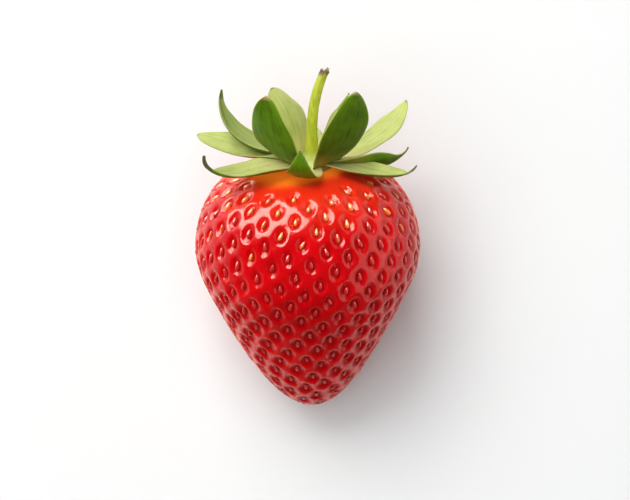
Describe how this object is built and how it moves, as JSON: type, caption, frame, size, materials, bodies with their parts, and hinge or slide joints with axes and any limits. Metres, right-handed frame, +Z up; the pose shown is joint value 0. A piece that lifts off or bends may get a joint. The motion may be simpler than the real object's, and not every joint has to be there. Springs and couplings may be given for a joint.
{
  "type": "strawberry",
  "caption": "Ripe heart-shaped strawberry lying on its side, with pitted red skin, seeds, a spread green calyx and a short curved stem.",
  "frame": {"origin": "middle of the small flat spot on the fruit's underside, on the surface it lies on", "axes": "+Z up; the fruit's axis from tip to stem runs along +Y and climbs 25 degrees"},
  "size_m": [0.0362, 0.054, 0.0358],
  "materials": {
    "flesh": "glossy",
    "leaf": "satin",
    "stalk": "satin"
  },
  "bodies": {
    "root": {"fruit": "flesh", "calyx": "leaf", "stem": "stalk"}
  },
  "joints": []
}
